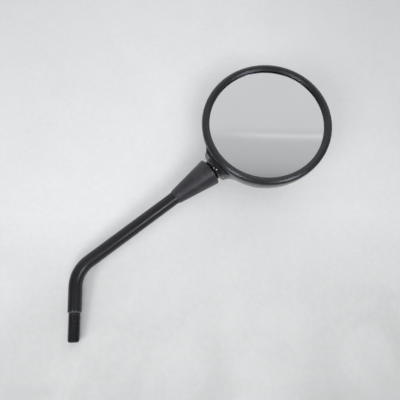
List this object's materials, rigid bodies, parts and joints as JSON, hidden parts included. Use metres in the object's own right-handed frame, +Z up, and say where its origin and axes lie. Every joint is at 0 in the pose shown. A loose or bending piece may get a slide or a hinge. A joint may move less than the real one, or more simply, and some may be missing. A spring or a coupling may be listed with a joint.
{
  "type": "motorcycle mirror",
  "caption": "Round rear-view mirror on a bent stem with a threaded lower end; the head turns on a ball joint behind a rubber cone boot.",
  "frame": {"origin": "centre of the stem's shoulder, where the threaded end begins", "axes": "+Z up along the lower stem, +X towards the mirror head, glass faces -Y"},
  "size_m": [0.233, 0.0368, 0.2379],
  "materials": {
    "stem_paint": "satin",
    "boot_rubber": "matte",
    "black_steel": "gloss",
    "zinc_steel": "satin",
    "nylon": "matte",
    "socket_paint": "gloss",
    "seal_rubber": "matte",
    "insert_brass": "satin",
    "shell_plastic": "gloss",
    "bezel_plastic": "satin",
    "mirror_coat": "polished",
    "foam": "matte",
    "plate_plastic": "matte"
  },
  "bodies": {
    "stem": {"stem": "stem_paint", "ball_stud": "black_steel", "jam_nut": "zinc_steel", "lock_washer": "zinc_steel", "boot": "boot_rubber"},
    "joint_ring": {"ball_ring": "nylon"},
    "joint_seat": {"ball_seat": "nylon"},
    "head": {"socket_housing": "socket_paint", "thrust_cup": "zinc_steel", "disc_springs": "zinc_steel", "tension_plug": "zinc_steel", "socket_gasket": "seal_rubber", "socket_screws": "zinc_steel", "socket_washers": "zinc_steel", "threaded_inserts": "insert_brass", "shell": "shell_plastic", "bezel": "bezel_plastic", "mirror_glass": "mirror_coat", "glass_channel": "seal_rubber", "foam_pad": "foam", "backing_plate": "plate_plastic", "backing_screws": "zinc_steel"}
  },
  "joints": [
    {"name": "head_swivel", "type": "hinge", "parent": "stem", "child": "joint_ring", "pos_m": [0.12547, 0, 0.12476], "axis": [0.8121, 0, 0.5835], "continuous": true},
    {"name": "head_tilt", "type": "hinge", "parent": "joint_ring", "child": "joint_seat", "pos_m": [0.12547, 0, 0.12476], "axis": [-0.5835, 0, 0.8121], "range_deg": [-15, 15]},
    {"name": "head_swing", "type": "hinge", "parent": "joint_seat", "child": "head", "pos_m": [0.12547, 0, 0.12476], "axis": [0, 1, 0], "range_deg": [-15, 15]}
  ]
}
